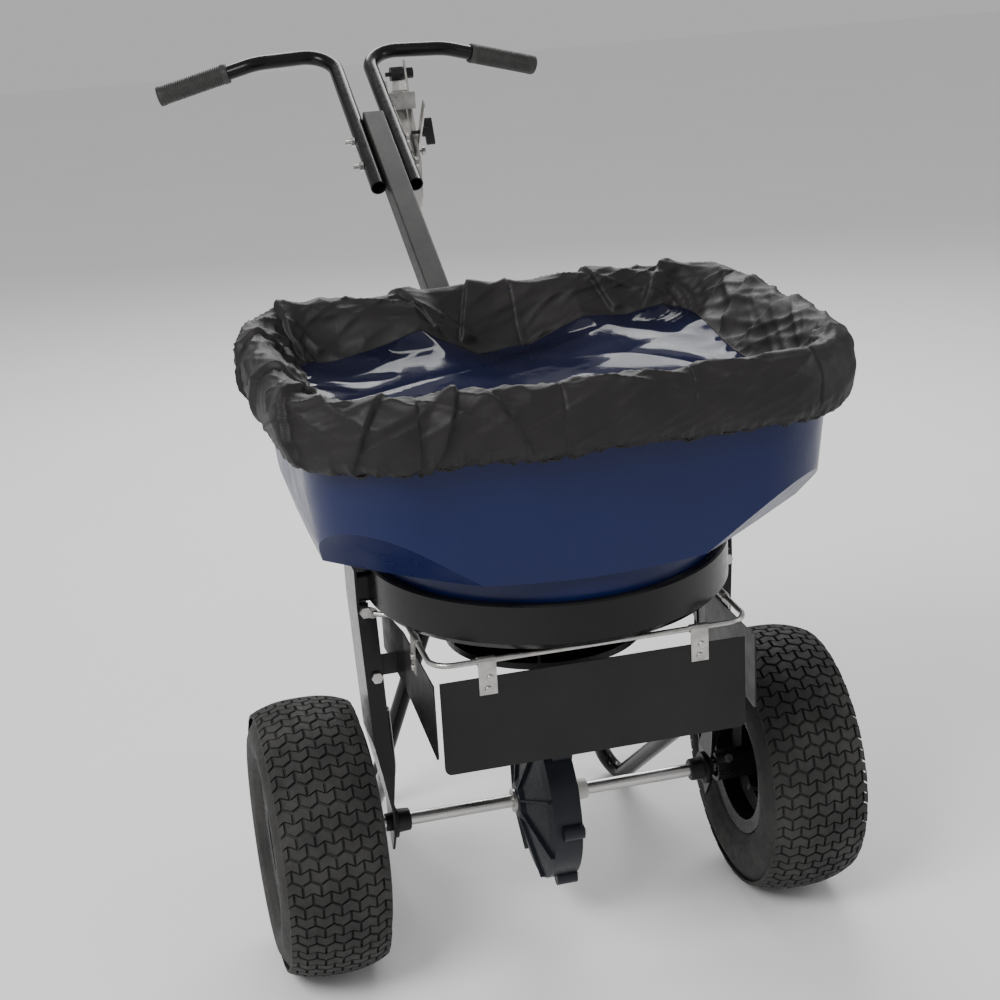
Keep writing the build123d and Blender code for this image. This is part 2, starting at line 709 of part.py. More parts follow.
def strap(plane, reach):
    """A strip folded over a rod at the plane's origin, with a tail down its negative side."""
    with BuildPart() as clip:
        with BuildSketch(plane):
            Circle(TAIL_FACE)
            with Locations((-TAIL_FACE + STRAP / 2, (CLIP_LOW - ROD_Z) / 2)):
                Rectangle(STRAP, ROD_Z - CLIP_LOW)
            Circle(ROD_RADIUS + 0.08, mode=Mode.SUBTRACT)
        extrude(amount=reach, both=True)
    return clip.part


FRONT_CLIP_PLANES = [
    Plane(at(s * CLIP_X, ROD_FRONT_Y, ROD_Z), x_dir=(0, 1, 0), z_dir=(1, 0, 0)) for s in (-1, 1)
]
with BuildPart() as front_clips:
    for plane in FRONT_CLIP_PLANES:
        add(strap(plane, CLIP_HALF))
front_clips.part.label = "front_clips"
export_step(front_clips.part, "parts/front_clips.step")

SCREW_HEIGHTS = (433.0, 420.0)
with BuildPart() as front_clip_screws:
    for x in (-CLIP_X, CLIP_X):
        for z, shift in zip(SCREW_HEIGHTS, (2.5, 0)):
            add(domed_screw(front(ROD_FRONT_Y - TAIL_FACE - 0.01, x + shift, z), 2.2))
front_clip_screws.part.label = "front_clip_screws"
export_step(front_clip_screws.part, "parts/front_clip_screws.step")

# side baffles stand just outside the rod's two arms and run back into the legs
SIDE_CLIP_Y = -128.0
BAFFLE_SPLAY = 3.2        # degrees that a side baffle runs outwards towards the leg
SIDE_SHEET_X = ROD_SIDE_X + TAIL_FACE - STRAP - 0.02
for name, s in (("left", -1), ("right", 1)):
    with BuildPart() as side_baffle:
        with BuildSketch(side(s * (SIDE_SHEET_X - BAFFLE_SHEET))):
            with BuildLine():
                Polyline((-100, 361), (-214, 349))
                ThreePointArc((-214, 349), (-219, 349.5), (-222, 354))
                Polyline((-222, 354), (-222, 437), (-64, 437), (-64, 364))
                Line((-64, 364), (-100, 361))
            make_face()
        extrude(amount=s * BAFFLE_SHEET)
        # rear length, splayed out into the leg
        hinge_plane = Plane(
            at(s * (SIDE_SHEET_X - BAFFLE_SHEET), -66, 0), x_dir=(s * sin(radians(5)), cos(radians(5)), 0),
            z_dir=(cos(radians(5)), -s * sin(radians(5)), 0),
        )
        with BuildSketch(hinge_plane):
            with BuildLine():
                Polyline((0, 437), (84, 433), (88, 425), (88, 384))
                ThreePointArc((88, 384), (50, 376), (0, 363.8))
                Line((0, 363.8), (0, 437))
            make_face()
        extrude(amount=s * BAFFLE_SHEET)
        # tab behind the leg's front flange
        with BuildSketch(front(-30.4, s * 198, 386)):
            Rectangle(32, 26)
        extrude(amount=BAFFLE_SHEET - 0.1)
    side_baffle.part.label = f"{name}_baffle"
    export_step(side_baffle.part, f"parts/{name}_baffle.step")

SIDE_CLIP_PLANES = [
    Plane(at(s * ROD_SIDE_X, SIDE_CLIP_Y, ROD_Z), x_dir=(-s, 0, 0), z_dir=(0, s, 0)) for s in (-1, 1)
]
with BuildPart() as side_clips:
    for plane in SIDE_CLIP_PLANES:
        add(strap(plane, CLIP_HALF))
side_clips.part.label = "side_clips"
export_step(side_clips.part, "parts/side_clips.step")

with BuildPart() as side_clip_screws:
    for s in (-1, 1):
        for z in SCREW_HEIGHTS:
            face = Plane(at(s * (ROD_SIDE_X + TAIL_FACE + 0.01), SIDE_CLIP_Y, z), z_dir=(s, 0, 0))
            add(domed_screw(face, 2.2))
side_clip_screws.part.label = "side_clip_screws"
export_step(side_clip_screws.part, "parts/side_clip_screws.step")

# ================================================================ gate under the hopper
with BuildPart() as shut_off_gate:
    with BuildSketch(level(GATE_Z)):
        Circle(70)
        with PolarLocations(40, 1, start_angle=GATE_REST):
            with Locations((20, 0)):
                Rectangle(56, 18)
        with PolarLocations(GATE_ARM, 1, start_angle=GATE_REST):
            Circle(9)
            SlotOverall(11, 6.6, mode=Mode.SUBTRACT)
        with PolarLocations(46, 3, start_angle=90 + 2 * GATE_REST):
            SlotOverall(34, 17, mode=Mode.SUBTRACT)
        Circle(SHAFT_RADIUS + 0.6, mode=Mode.SUBTRACT)
    extrude(amount=SHEET)
shut_off_gate.part.label = "shut_off_gate"
export_step(shut_off_gate.part, "parts/shut_off_gate.step")

CLIP_ANGLES = (70, 190, 310)
with BuildPart() as gate_clips:
    for angle in CLIP_ANGLES:
        ray = Plane(at(0, 0, 0), x_dir=(cos(radians(angle)), sin(radians(angle)), 0),
                    z_dir=(sin(radians(angle)), -cos(radians(angle)), 0))
        with BuildSketch(ray):
            add(polygon([
                (64, GATE_Z - 2.4), (73.5, GATE_Z - 2.4), (73.5, FLOOR_TOP - WALL), (70.6, FLOOR_TOP - WALL),
                (70.6, GATE_Z - 0.4), (64, GATE_Z - 0.4),
            ]))
        extrude(amount=6, both=True)
gate_clips.part.label = "gate_clips"
export_step(gate_clips.part, "parts/gate_clips.step")

PIN_X = GATE_ARM * cos(radians(GATE_REST))
PIN_Y = GATE_ARM * sin(radians(GATE_REST))
LEVER_PIN_Y = PIVOT_Y + LEVER_ARM * sin(radians(LEVER_REST))
LEVER_PIN_Z = PIVOT_Z - LEVER_ARM * cos(radians(LEVER_REST))
LEVER_PIN_X = 47.0
CONTROL_RADIUS = 3.0
CONTROL_PATH = [
    (PIN_X, PIN_Y, 431), (PIN_X + 1, 222, 431), (LEVER_PIN_X, 905, 750),
    (LEVER_PIN_X, LEVER_PIN_Y, 750),
]
with BuildPart() as control_rod:
    add(bent_tube([at(*p) for p in CONTROL_PATH], [60, 30], CONTROL_RADIUS))
    with BuildSketch(level(428, PIN_X, PIN_Y)):
        Circle(CONTROL_RADIUS)
    extrude(amount=11.5)
    # flat end with an upright slot for the lever's pin
    with BuildSketch(side(LEVER_PIN_X - 1.5)):
        with Locations((LEVER_PIN_Y, LEVER_PIN_Z - 1)):
            SlotOverall(44, 14, rotation=90)
        with Locations((LEVER_PIN_Y, LEVER_PIN_Z - 1.4)):
            SlotOverall(12.5, 6.4, rotation=90, mode=Mode.SUBTRACT)
    extrude(amount=SHEET)
control_rod.part.label = "control_rod"
export_step(control_rod.part, "parts/control_rod.step")

# ================================================================ post and handles
POST_PLANE = Plane(POST_FOOT, x_dir=(1, 0, 0), z_dir=POST_DIR)
with BuildPart() as post:
    with BuildSketch(POST_PLANE):
        RectangleRounded(POST_SIDE, POST_SIDE, 2.5)
        RectangleRounded(POST_SIDE - 4, POST_SIDE - 4, 1.5, mode=Mode.SUBTRACT)
    extrude(amount=POST_LENGTH)
post.part.label = "post"
export_step(post.part, "parts/post.step")

HANDLE_PATH = [
    post_point(174, TUBE_X), post_point(-194, TUBE_X), at(152, 1016, 961), at(301, 1041.6, 920),
]
GRIP_LENGTH = 116.0
GRIP_RADIUS = 15.4
for name, s in (("left", -1), ("right", 1)):
    points = [Vector(s * p.X, p.Y, p.Z) for p in HANDLE_PATH]
    with BuildPart() as handle_tube:
        add(bent_tube(points, [42, 70], TUBE_RADIUS, TUBE_RADIUS - 1.8))
    handle_tube.part.label = f"{name}_handle_tube"
    export_step(handle_tube.part, f"parts/{name}_handle_tube.step")

    inward = (points[2] - points[3]).normalized()
    grip_end = points[3] - inward * 4
    with BuildPart() as grip:
        with BuildSketch(Plane(grip_end, z_dir=inward)):
            Circle(GRIP_RADIUS)
        body = extrude(amount=GRIP_LENGTH)
        fillet(body.edges().filter_by(GeomType.CIRCLE), 2.5)
        # ribs left standing between shallow grooves
        for k in range(17):
            with BuildSketch(Plane(grip_end + inward * (24 + 5 * k), z_dir=inward)):
                Circle(GRIP_RADIUS + 1)
                Circle(GRIP_RADIUS - 1.2, mode=Mode.SUBTRACT)
            extrude(amount=2.2, mode=Mode.SUBTRACT)
        with BuildSketch(Plane(grip_end + inward * 3.95, z_dir=inward)):
            Circle(TUBE_RADIUS + 0.02)
        extrude(amount=GRIP_LENGTH, mode=Mode.SUBTRACT)
    grip.part.label = f"{name}_grip"
    export_step(grip.part, f"parts/{name}_grip.step")

OUTSIDE = TUBE_X + TUBE_RADIUS
with BuildPart() as handle_bolts:
    for distance in (54, 118):
        add(hex_bolt(Plane(post_point(distance, OUTSIDE + 0.02), z_dir=(1, 0, 0)), 4.0))
        add(hex_bolt(Plane(post_point(distance, -OUTSIDE - 0.02), z_dir=(-1, 0, 0)), 4.0))
        add(rod(post_point(distance, -OUTSIDE - 5.3), post_point(distance, -OUTSIDE - 14), 3.6))
handle_bolts.part.label = "handle_bolts"
export_step(handle_bolts.part, "parts/handle_bolts.step")

# ================================================================ gauge and lever
PLATE_X = 76.5
with BuildPart() as gauge_plate:
    with BuildSketch(side(PLATE_X)):
        add(polygon([
            (984, 952), (963, 900), (934, 850), (905, 800), (912, 745), (926, 717), (972, 722), (1022, 760),
            (1040, 800), (1036, 848), (1010, 888), (987, 912), (987.5, 952),
        ]))
        for start, sweep_angle, radius in ((104, 34, 47.0), (-18, 30, 61.0), (22, 30, 61.0)):
            with Locations((PIVOT_Y, PIVOT_Z)):
                SlotArc(CenterArc((0, 0), radius, start, sweep_angle), 7.0, mode=Mode.SUBTRACT)
        with Locations((PIVOT_Y, PIVOT_Z)):
            Circle(4.05, mode=Mode.SUBTRACT)
    extrude(amount=SHEET)
gauge_plate.part.label = "gauge_plate"
export_step(gauge_plate.part, "parts/gauge_plate.step")

# flat strip from the handle tube out past the gauge plate's front edge
BRACKET_IN = OUTSIDE + 0.05
BRACKET_Y = 944.0
with BuildPart() as gauge_bracket:
    with BuildSketch(level(880)):
        add(polygon([
            (BRACKET_IN, BRACKET_Y), (84, BRACKET_Y), (84, BRACKET_Y + SHEET), (BRACKET_IN, BRACKET_Y + SHEET),
        ]))
    extrude(amount=26)
    with BuildSketch(level(903)):
        add(polygon([
            (BRACKET_IN, BRACKET_Y), (PLATE_X - 0.1, BRACKET_Y), (PLATE_X - 0.1, 974), (BRACKET_IN, 974),
        ]))
    extrude(amount=SHEET)
    # ears against the tube and the plate
    with BuildSketch(side(BRACKET_IN)):
        add(polygon([(BRACKET_Y, 880), (974, 880), (974, 924), (BRACKET_Y + 10, 924), (BRACKET_Y, 906)]))
    extrude(amount=SHEET)
    with BuildSketch(side(PLATE_X - 0.1)):
        add(polygon([(958, 884), (974, 884), (974, 906), (958, 906)]))
    extrude(amount=-SHEET)
gauge_bracket.part.label = "gauge_bracket"
export_step(gauge_bracket.part, "parts/gauge_bracket.step")

with BuildPart() as gauge_stay:
    with BuildSketch(side(OUTSIDE + 0.02)):
        add(polygon([(858, 868), (902, 890), (928, 872), (964, 822), (958, 798), (936, 798), (876, 850)]))
        with Locations((PIVOT_Y, PIVOT_Z)):
            Circle(4.05, mode=Mode.SUBTRACT)
    extrude(amount=SHEET)
gauge_stay.part.label = "gauge_stay"
export_step(gauge_stay.part, "parts/gauge_stay.step")

with BuildPart() as lever_pivot_bolt:
    with BuildSketch(side(OUTSIDE - 6)):
        with Locations((PIVOT_Y, PIVOT_Z)):
            Circle(4.0)
    extrude(amount=58)
    with BuildSketch(side(90)):
        with Locations((PIVOT_Y, PIVOT_Z)):
            RegularPolygon(7, 6)
    extrude(amount=5)
    with BuildSketch(side(OUTSIDE - 6.5)):
        with Locations((PIVOT_Y, PIVOT_Z)):
            RegularPolygon(7, 6)
    extrude(amount=5.5)
lever_pivot_bolt.part.label = "lever_pivot_bolt"
export_step(lever_pivot_bolt.part, "parts/lever_pivot_bolt.step")

LEVER_TILT = 24.5         # degrees, the lever's blade behind the vertical
LEVER_LENGTH = 128.0
BLADE_DIR = Vector(0, sin(radians(LEVER_TILT)), cos(radians(LEVER_TILT)))
PIVOT = at(0, PIVOT_Y, PIVOT_Z)
with BuildPart() as control_lever:
    # tapered blade that faces forward, with an ear either side of the pivot
    with BuildSketch(Plane(PIVOT + BLADE_DIR * 12, x_dir=(1, 0, 0), z_dir=Vector(1, 0, 0).cross(BLADE_DIR))):
        add(polygon([(51, 8), (75, 8), (75, 60), (74, LEVER_LENGTH - 12), (62, LEVER_LENGTH - 12), (51, 44)]))
    extrude(amount=-SHEET)
    for x in (51, 72):
        with BuildSketch(side(x)):
            with Locations((PIVOT_Y, PIVOT_Z)):
                Circle(13)
            add(polygon([
                (PIVOT_Y - 11, PIVOT_Z + 7), (PIVOT_Y + 13, PIVOT_Z - 4), (PIVOT_Y + 26, PIVOT_Z + 22),
                (PIVOT_Y + 11.6, PIVOT_Z + 28),
            ]))
            with Locations((PIVOT_Y, PIVOT_Z)):
                Circle(4.06, mode=Mode.SUBTRACT)
        extrude(amount=SHEET)
    # lower arm with the pin that moves the control rod
    with BuildSketch(side(51)):
        add(polygon([
            (PIVOT_Y - 9, PIVOT_Z - 9), (PIVOT_Y + 12, PIVOT_Z - 6), (LEVER_PIN_Y + 8, LEVER_PIN_Z - 1),
            (LEVER_PIN_Y + 4, LEVER_PIN_Z - 8), (LEVER_PIN_Y - 5, LEVER_PIN_Z - 7), (LEVER_PIN_Y - 8, LEVER_PIN_Z),
        ]))
    extrude(amount=SHEET)
    with BuildSketch(side(44)):
        with Locations((LEVER_PIN_Y, LEVER_PIN_Z)):
            Circle(2.5)
    extrude(amount=8)
control_lever.part.label = "control_lever"
export_step(control_lever.part, "parts/control_lever.step")

KNOB = PIVOT + BLADE_DIR * LEVER_LENGTH
with BuildPart() as lever_knob:
    for x, length, radius in ((58, 20, 11), (78, 16, 8.5), (50, 9, 3.5)):
        with BuildSketch(Plane(KNOB + Vector(x, 0, 0), z_dir=(1, 0, 0))):
            Circle(radius)
        extrude(amount=length)
    add(control_lever.part, mode=Mode.SUBTRACT)
lever_knob.part.label = "lever_knob"
export_step(lever_knob.part, "parts/lever_knob.step")

STOP_ANGLE = 132.0        # degrees round the pivot, from straight back
STOP_RADIUS = 47.0
with BuildPart() as rate_stop:
    with BuildSketch(side(PLATE_X + SHEET + 1.5)):
        with Locations((PIVOT_Y, PIVOT_Z)):
            Circle(12)
            with PolarLocations(0, 1, start_angle=STOP_ANGLE):
                with Locations((56, 0)):
                    Rectangle(112, 15)
            Circle(4.06, mode=Mode.SUBTRACT)
            with PolarLocations(STOP_RADIUS, 1, start_angle=STOP_ANGLE):
                Circle(3.06, mode=Mode.SUBTRACT)
    extrude(amount=2.5)
rate_stop.part.label = "rate_stop"
export_step(rate_stop.part, "parts/rate_stop.step")

STUD_Y = PIVOT_Y + STOP_RADIUS * cos(radians(STOP_ANGLE))
STUD_Z = PIVOT_Z + STOP_RADIUS * sin(radians(STOP_ANGLE))
with BuildPart() as stop_knob:
    with BuildSketch(side(PLATE_X - 8)):
        with Locations((STUD_Y, STUD_Z)):
            Circle(3.0)
    extrude(amount=24)
    with BuildSketch(side(86)):
        with Locations((STUD_Y, STUD_Z)):
            Circle(8)
    extrude(amount=10)
    with BuildSketch(side(90)):
        with Locations((STUD_Y, STUD_Z)):
            SlotOverall(44, 8, rotation=62)
    extrude(amount=13)
stop_knob.part.label = "stop_knob"
export_step(stop_knob.part, "parts/stop_knob.step")

# ================================================================ rear bracket and stand
RING_BACK = LIP_Y + RING_RADIUS
CHEEK_X = POST_SIDE / 2 + 0.1
with BuildPart() as rear_bracket:
    with BuildSketch(front(RING_BACK + 4.2, 0, 490)):
        RectangleRounded(96, 52, 6)
    extrude(amount=4)
    for s in (-1, 1):
        with BuildSketch(side(s * CHEEK_X)):
            add(polygon([
                (RING_BACK + 2, 466), (RING_BACK + 2, 514), (214, 560), (252, 578), (262, 556), (246, 500),
                (224, 466),
            ]))
        extrude(amount=s * SHEET)
rear_bracket.part.label = "rear_bracket"
export_step(rear_bracket.part, "parts/rear_bracket.step")

STAND_TOP = (CHEEK_X + SHEET + STAND_RADIUS + 0.05, 226, 500)
STAND_FOOT = (184, 352, -24.6)
STAND_KNEE = (193, 48, 208)
STAND_HEAD = (196, 48, 292)
for name, s in (("left", -1), ("right", 1)):
    points = [
        at(s * STAND_TOP[0], STAND_TOP[1], STAND_TOP[2] + 40), at(s * STAND_TOP[0], *STAND_TOP[1:]),
        at(s * STAND_FOOT[0], *STAND_FOOT[1:]), at(s * STAND_KNEE[0], *STAND_KNEE[1:]),
        at(s * STAND_HEAD[0], *STAND_HEAD[1:]),
    ]
    with BuildPart() as stand_tube:
        add(bent_tube(points, [60, 26, 40], STAND_RADIUS, STAND_RADIUS - 1.8))
        split(bisect_by=Plane.XY, keep=Keep.TOP)
    stand_tube.part.label = f"{name}_stand_tube"
    export_step(stand_tube.part, f"parts/{name}_stand_tube.step")

with BuildPart() as frame_bolts:
    for s in (-1, 1):
        # through the post and the bracket's cheeks
        add(hex_bolt(Plane(post_point(POST_LENGTH - 24, s * (CHEEK_X + SHEET + 0.02)), z_dir=(s, 0, 0)), 4.0))
        # through the stand tubes
        outer = STAND_TOP[0] + STAND_RADIUS + 0.02
        add(hex_bolt(Plane(at(s * outer, STAND_TOP[1], STAND_TOP[2] + 26), z_dir=(s, 0, 0)), 3.5))
        add(hex_bolt(Plane(at(s * 38, RING_BACK + 4.25, 490), z_dir=(0, 1, 0)), 3.5))
frame_bolts.part.label = "frame_bolts"
export_step(frame_bolts.part, "parts/frame_bolts.step")
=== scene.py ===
import bpy
import numpy
from math import cos, exp, hypot, pi, sin
from mathutils import Matrix, Vector, noise
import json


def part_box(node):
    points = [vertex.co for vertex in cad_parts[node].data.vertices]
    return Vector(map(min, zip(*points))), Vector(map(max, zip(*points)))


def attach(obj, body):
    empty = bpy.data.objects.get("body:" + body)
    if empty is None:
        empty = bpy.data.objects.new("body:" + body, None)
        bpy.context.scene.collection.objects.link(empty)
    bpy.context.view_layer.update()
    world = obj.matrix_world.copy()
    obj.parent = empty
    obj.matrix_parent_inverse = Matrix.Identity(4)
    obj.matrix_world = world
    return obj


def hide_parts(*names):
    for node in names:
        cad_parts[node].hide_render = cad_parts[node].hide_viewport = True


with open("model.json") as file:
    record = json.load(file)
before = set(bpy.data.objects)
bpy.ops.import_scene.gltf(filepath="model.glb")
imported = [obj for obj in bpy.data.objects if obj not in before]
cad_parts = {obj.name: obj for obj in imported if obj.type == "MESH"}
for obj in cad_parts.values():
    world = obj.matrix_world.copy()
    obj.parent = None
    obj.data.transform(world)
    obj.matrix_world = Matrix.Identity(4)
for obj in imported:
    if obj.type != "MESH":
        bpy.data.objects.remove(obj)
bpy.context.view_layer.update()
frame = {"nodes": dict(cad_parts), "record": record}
nodes = frame["nodes"]

AXLE_Y = (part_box("axle")[0][1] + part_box("axle")[1][1]) / 2
AXLE_Z = (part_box("axle")[0][2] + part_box("axle")[1][2]) / 2


# ---------------------------------------------------------------- camera, light and floor
def make_camera():
    """Looks down at the front left corner. Angles are in radians."""
    heading, tilt, roll = 0.236490308, 0.337320553, -0.0570669545
    forward = Vector((sin(heading) * cos(tilt), cos(heading) * cos(tilt), -sin(tilt)))
    right = Vector((cos(heading), -sin(heading), 0))
    up = right.cross(forward)
    right, up = cos(roll) * right + sin(roll) * up, cos(roll) * up - sin(roll) * right
    camera = bpy.data.objects.new("camera", bpy.data.cameras.new("camera"))
    camera.data.sensor_width = 36.0
    camera.data.lens = 69.155
    camera.matrix_world = Matrix.Translation((-0.536, AXLE_Y - 2.0407, 1.291)) @ Matrix(
        (right, up, -forward)
    ).transposed().to_4x4()
    bpy.context.scene.collection.objects.link(camera)
    bpy.context.scene.camera = camera


def softbox(name, place, aim, size, watts):
    lamp = bpy.data.lights.new(name, "AREA")
    lamp.shape = "RECTANGLE"
    lamp.size, lamp.size_y = size
    lamp.energy = watts
    light = bpy.data.objects.new(name, lamp)
    light.location = place
    light.rotation_euler = (Vector(aim) - Vector(place)).to_track_quat("-Z", "Y").to_euler()
    bpy.context.scene.collection.objects.link(light)


def make_studio():
    world = bpy.data.worlds.new("studio")
    world.use_nodes = True
    world.node_tree.nodes["Background"].inputs["Color"].default_value = (1, 1, 1, 1)
    world.node_tree.nodes["Background"].inputs["Strength"].default_value = 0.5
    bpy.context.scene.world = world
    softbox("key", (-1.9, -1.9, 2.6), (0, -0.3, 0.5), (1.6, 1.2), 85)
    softbox("back", (0.6, 2.2, 2.2), (0, -0.2, 0.6), (2.4, 1.0), 60)
    softbox("side", (2.4, -1.2, 1.2), (0, -0.3, 0.4), (0.8, 1.6), 12)
    mesh = bpy.data.meshes.new("floor")
    mesh.from_pydata([(-9, -9, 0), (9, -9, 0), (9, 9, 0), (-9, 9, 0)], [], [(0, 1, 2, 3)])
    floor = bpy.data.objects.new("floor", mesh)
    bpy.context.scene.collection.objects.link(floor)
    floor.data.materials.append(surface("floor_paint", (0.93, 0.93, 0.93), (0.55, 0.65), 0.01, 3))


# ---------------------------------------------------------------- materials
def new_material(name):
    made = bpy.data.materials.new(name)
    made.use_nodes = True
    tree = made.node_tree
    return made, tree, tree.nodes["Principled BSDF"], tree.nodes.new("ShaderNodeTexCoord").outputs["Object"]


def pattern(tree, coordinates, scale, detail=3.0, stretch=(1, 1, 1)):
    """Noise from 0 to 1 over the piece. stretch above 1 makes it finer along that axis."""
    mapping = tree.nodes.new("ShaderNodeMapping")
    mapping.inputs["Scale"].default_value = stretch
    tree.links.new(coordinates, mapping.inputs["Vector"])
    texture = tree.nodes.new("ShaderNodeTexNoise")
    texture.inputs["Scale"].default_value = scale
    texture.inputs["Detail"].default_value = detail
    tree.links.new(mapping.outputs["Vector"], texture.inputs["Vector"])
    return texture.outputs["Fac"]


def ranged(tree, value, low, high, start=0.3, end=0.7):
    node = tree.nodes.new("ShaderNodeMapRange")
    for socket, number in (("From Min", start), ("From Max", end), ("To Min", low), ("To Max", high)):
        node.inputs[socket].default_value = number
    tree.links.new(value, node.inputs["Value"])
    return node.outputs["Result"]


def blended(tree, factor, color_a, color_b):
    node = tree.nodes.new("ShaderNodeMix")
    node.data_type = "RGBA"
    tree.links.new(factor, node.inputs["Factor"])
    node.inputs["A"].default_value = (*color_a, 1)
    node.inputs["B"].default_value = (*color_b, 1)
    return node.outputs["Result"]


def bumped(tree, shader, height, depth, strength=1.0):
    """Raises the surface by height times depth, on top of any bump already there."""
    node = tree.nodes.new("ShaderNodeBump")
    node.inputs["Distance"].default_value = depth
    node.inputs["Strength"].default_value = strength
    tree.links.new(height, node.inputs["Height"])
    earlier = shader.inputs["Normal"]
    if earlier.is_linked:
        tree.links.new(earlier.links[0].from_socket, node.inputs["Normal"])
    tree.links.new(node.outputs["Normal"], earlier)


def surface(
    name, color, roughness, spread, scale, bump=None,
    metallic=0.0, worn=None, stretch=(1, 1, 1), shine=0.3,
):
    """A surface whose colour and roughness wander a little, with bumps as (scale, depth) pairs."""
    made, tree, shader, coordinates = new_material(name)
    broad = pattern(tree, coordinates, scale, 4.0, stretch)
    dark = tuple(c * (1 - spread) for c in color)
    light = worn or tuple(min(1.0, c * (1 + spread)) for c in color)
    tree.links.new(blended(tree, ranged(tree, broad, 0, 1), dark, light), shader.inputs["Base Color"])
    fine = pattern(tree, coordinates, scale * 5.3, 5.0, stretch)
    tree.links.new(ranged(tree, fine, *roughness), shader.inputs["Roughness"])
    for bump_scale, depth in bump or ():
        bumped(tree, shader, pattern(tree, coordinates, bump_scale, 3.0, stretch), depth)
    shader.inputs["Metallic"].default_value = metallic
    shader.inputs["Specular IOR Level"].default_value = shine
    return made


def worn_edges(made, color, reach, amount):
    """Lets color show along the edges of the material's piece."""
    tree = made.node_tree
    shader = tree.nodes["Principled BSDF"]
    geometry = tree.nodes.new("ShaderNodeNewGeometry")
    edge = ranged(tree, geometry.outputs["Pointiness"], 0, amount, 0.5 + reach, 0.5 + reach * 3)
    node = tree.nodes.new("ShaderNodeMix")
    node.data_type = "RGBA"
    tree.links.new(edge, node.inputs["Factor"])
    tree.links.new(shader.inputs["Base Color"].links[0].from_socket, node.inputs["A"])
    node.inputs["B"].default_value = (*color, 1)
    tree.links.new(node.outputs["Result"], shader.inputs["Base Color"])
    return made


def nylon_cloth():
    made, tree, shader, coordinates = new_material("coated_nylon")
    patch = pattern(tree, coordinates, 9, 5.0)
    tree.links.new(
        blended(tree, ranged(tree, patch, 0, 1), (0.0085, 0.0074, 0.0076), (0.0165, 0.0143, 0.0146)),
        shader.inputs["Base Color"],
    )
    tree.links.new(ranged(tree, pattern(tree, coordinates, 60, 4.0), 0.5, 0.66), shader.inputs["Roughness"])
    bumped(tree, shader, pattern(tree, coordinates, 1500, 1.0), 0.0001, 0.4)
    bumped(tree, shader, pattern(tree, coordinates, 42, 5.0), 0.0016, 0.6)
    shader.inputs["Specular IOR Level"].default_value = 0.3
    return made


def clear_vinyl():
    made, tree, shader, coordinates = new_material("clear_vinyl")
    haze = pattern(tree, coordinates, 8, 5.0)
    tree.links.new(
        blended(tree, ranged(tree, haze, 0, 1), (0.02, 0.025, 0.07), (0.07, 0.07, 0.13)),
        shader.inputs["Base Color"],
    )
    tree.links.new(ranged(tree, pattern(tree, coordinates, 30, 3.0), 0.05, 0.12), shader.inputs["Roughness"])
    tree.links.new(ranged(tree, haze, 0.2, 0.36), shader.inputs["Alpha"])
    bumped(tree, shader, pattern(tree, coordinates, 24, 2.0), 0.002, 0.3)
    shader.inputs["IOR"].default_value = 1.5
    shader.inputs["Specular IOR Level"].default_value = 0.4
    shader.inputs["Coat Weight"].default_value = 0.12
    shader.inputs["Coat Roughness"].default_value = 0.03
    return made


def tyre_rubber():
    made = surface(
        "tyre_rubber", (0.030, 0.029, 0.028), (0.62, 0.85), 0.35, 22, [(900, 0.0002), (120, 0.0004)]
    )
    return worn_edges(made, (0.075, 0.072, 0.07), 0.03, 0.5)


def make_materials():
    zinc = surface(
        "zinc_plate", (0.46, 0.45, 0.43), (0.26, 0.44), 0.22, 60, [(700, 0.00008), (90, 0.0002)], metallic=1.0
    )
    return {
        "hopper_plastic": surface(
            "hopper_plastic", (0.0042, 0.0098, 0.062), (0.26, 0.36), 0.08, 6,
            [(260, 0.00004), (9, 0.0003)], shine=0.28,
        ),
        "rim_steel": worn_edges(
            surface("rim_steel", (0.010, 0.010, 0.010), (0.2, 0.36), 0.3, 30, [(400, 0.0001)]),
            (0.08, 0.08, 0.08), 0.04, 0.4,
        ),
        "grip_rubber": surface("grip_rubber", (0.035, 0.034, 0.033), (0.5, 0.7), 0.2, 80, [(1200, 0.0001)]),
        "gearbox_plastic": surface(
            "gearbox_plastic", (0.009, 0.011, 0.016), (0.34, 0.5), 0.15, 40, [(900, 0.0001)]
        ),
        "white_nylon": surface("white_nylon", (0.72, 0.71, 0.67), (0.3, 0.45), 0.06, 60, [(500, 0.00006)]),
        "gear_metal": surface(
            "gear_metal", (0.2, 0.19, 0.18), (0.35, 0.55), 0.3, 80, [(800, 0.0001)], metallic=1.0
        ),
        "bright_steel": surface(
            "bright_steel", (0.50, 0.49, 0.48), (0.2, 0.38), 0.15, 30, [(500, 0.00006)], metallic=1.0,
            stretch=(0.15, 1, 1),
        ),
        "black_plastic": surface(
            "black_plastic", (0.010, 0.010, 0.011), (0.32, 0.5), 0.2, 60, [(900, 0.0001)]
        ),
        "gloss_black": surface(
            "gloss_black", (0.0045, 0.0045, 0.005), (0.18, 0.28), 0.2, 20, [(14, 0.0002)], shine=0.25
        ),
        "matt_black": surface(
            "matt_black", (0.016, 0.0155, 0.015), (0.36, 0.5), 0.2, 25, [(800, 0.0001)],
            worn=(0.03, 0.028, 0.027),
        ),
        "satin_black": surface(
            "satin_black", (0.007, 0.007, 0.0068), (0.34, 0.46), 0.25, 12, [(500, 0.0001)]
        ),
        "zinc": zinc,
        "cover_fabric": nylon_cloth(),
        "clear_vinyl": clear_vinyl(),
        "tyre_rubber": tyre_rubber(),
    }


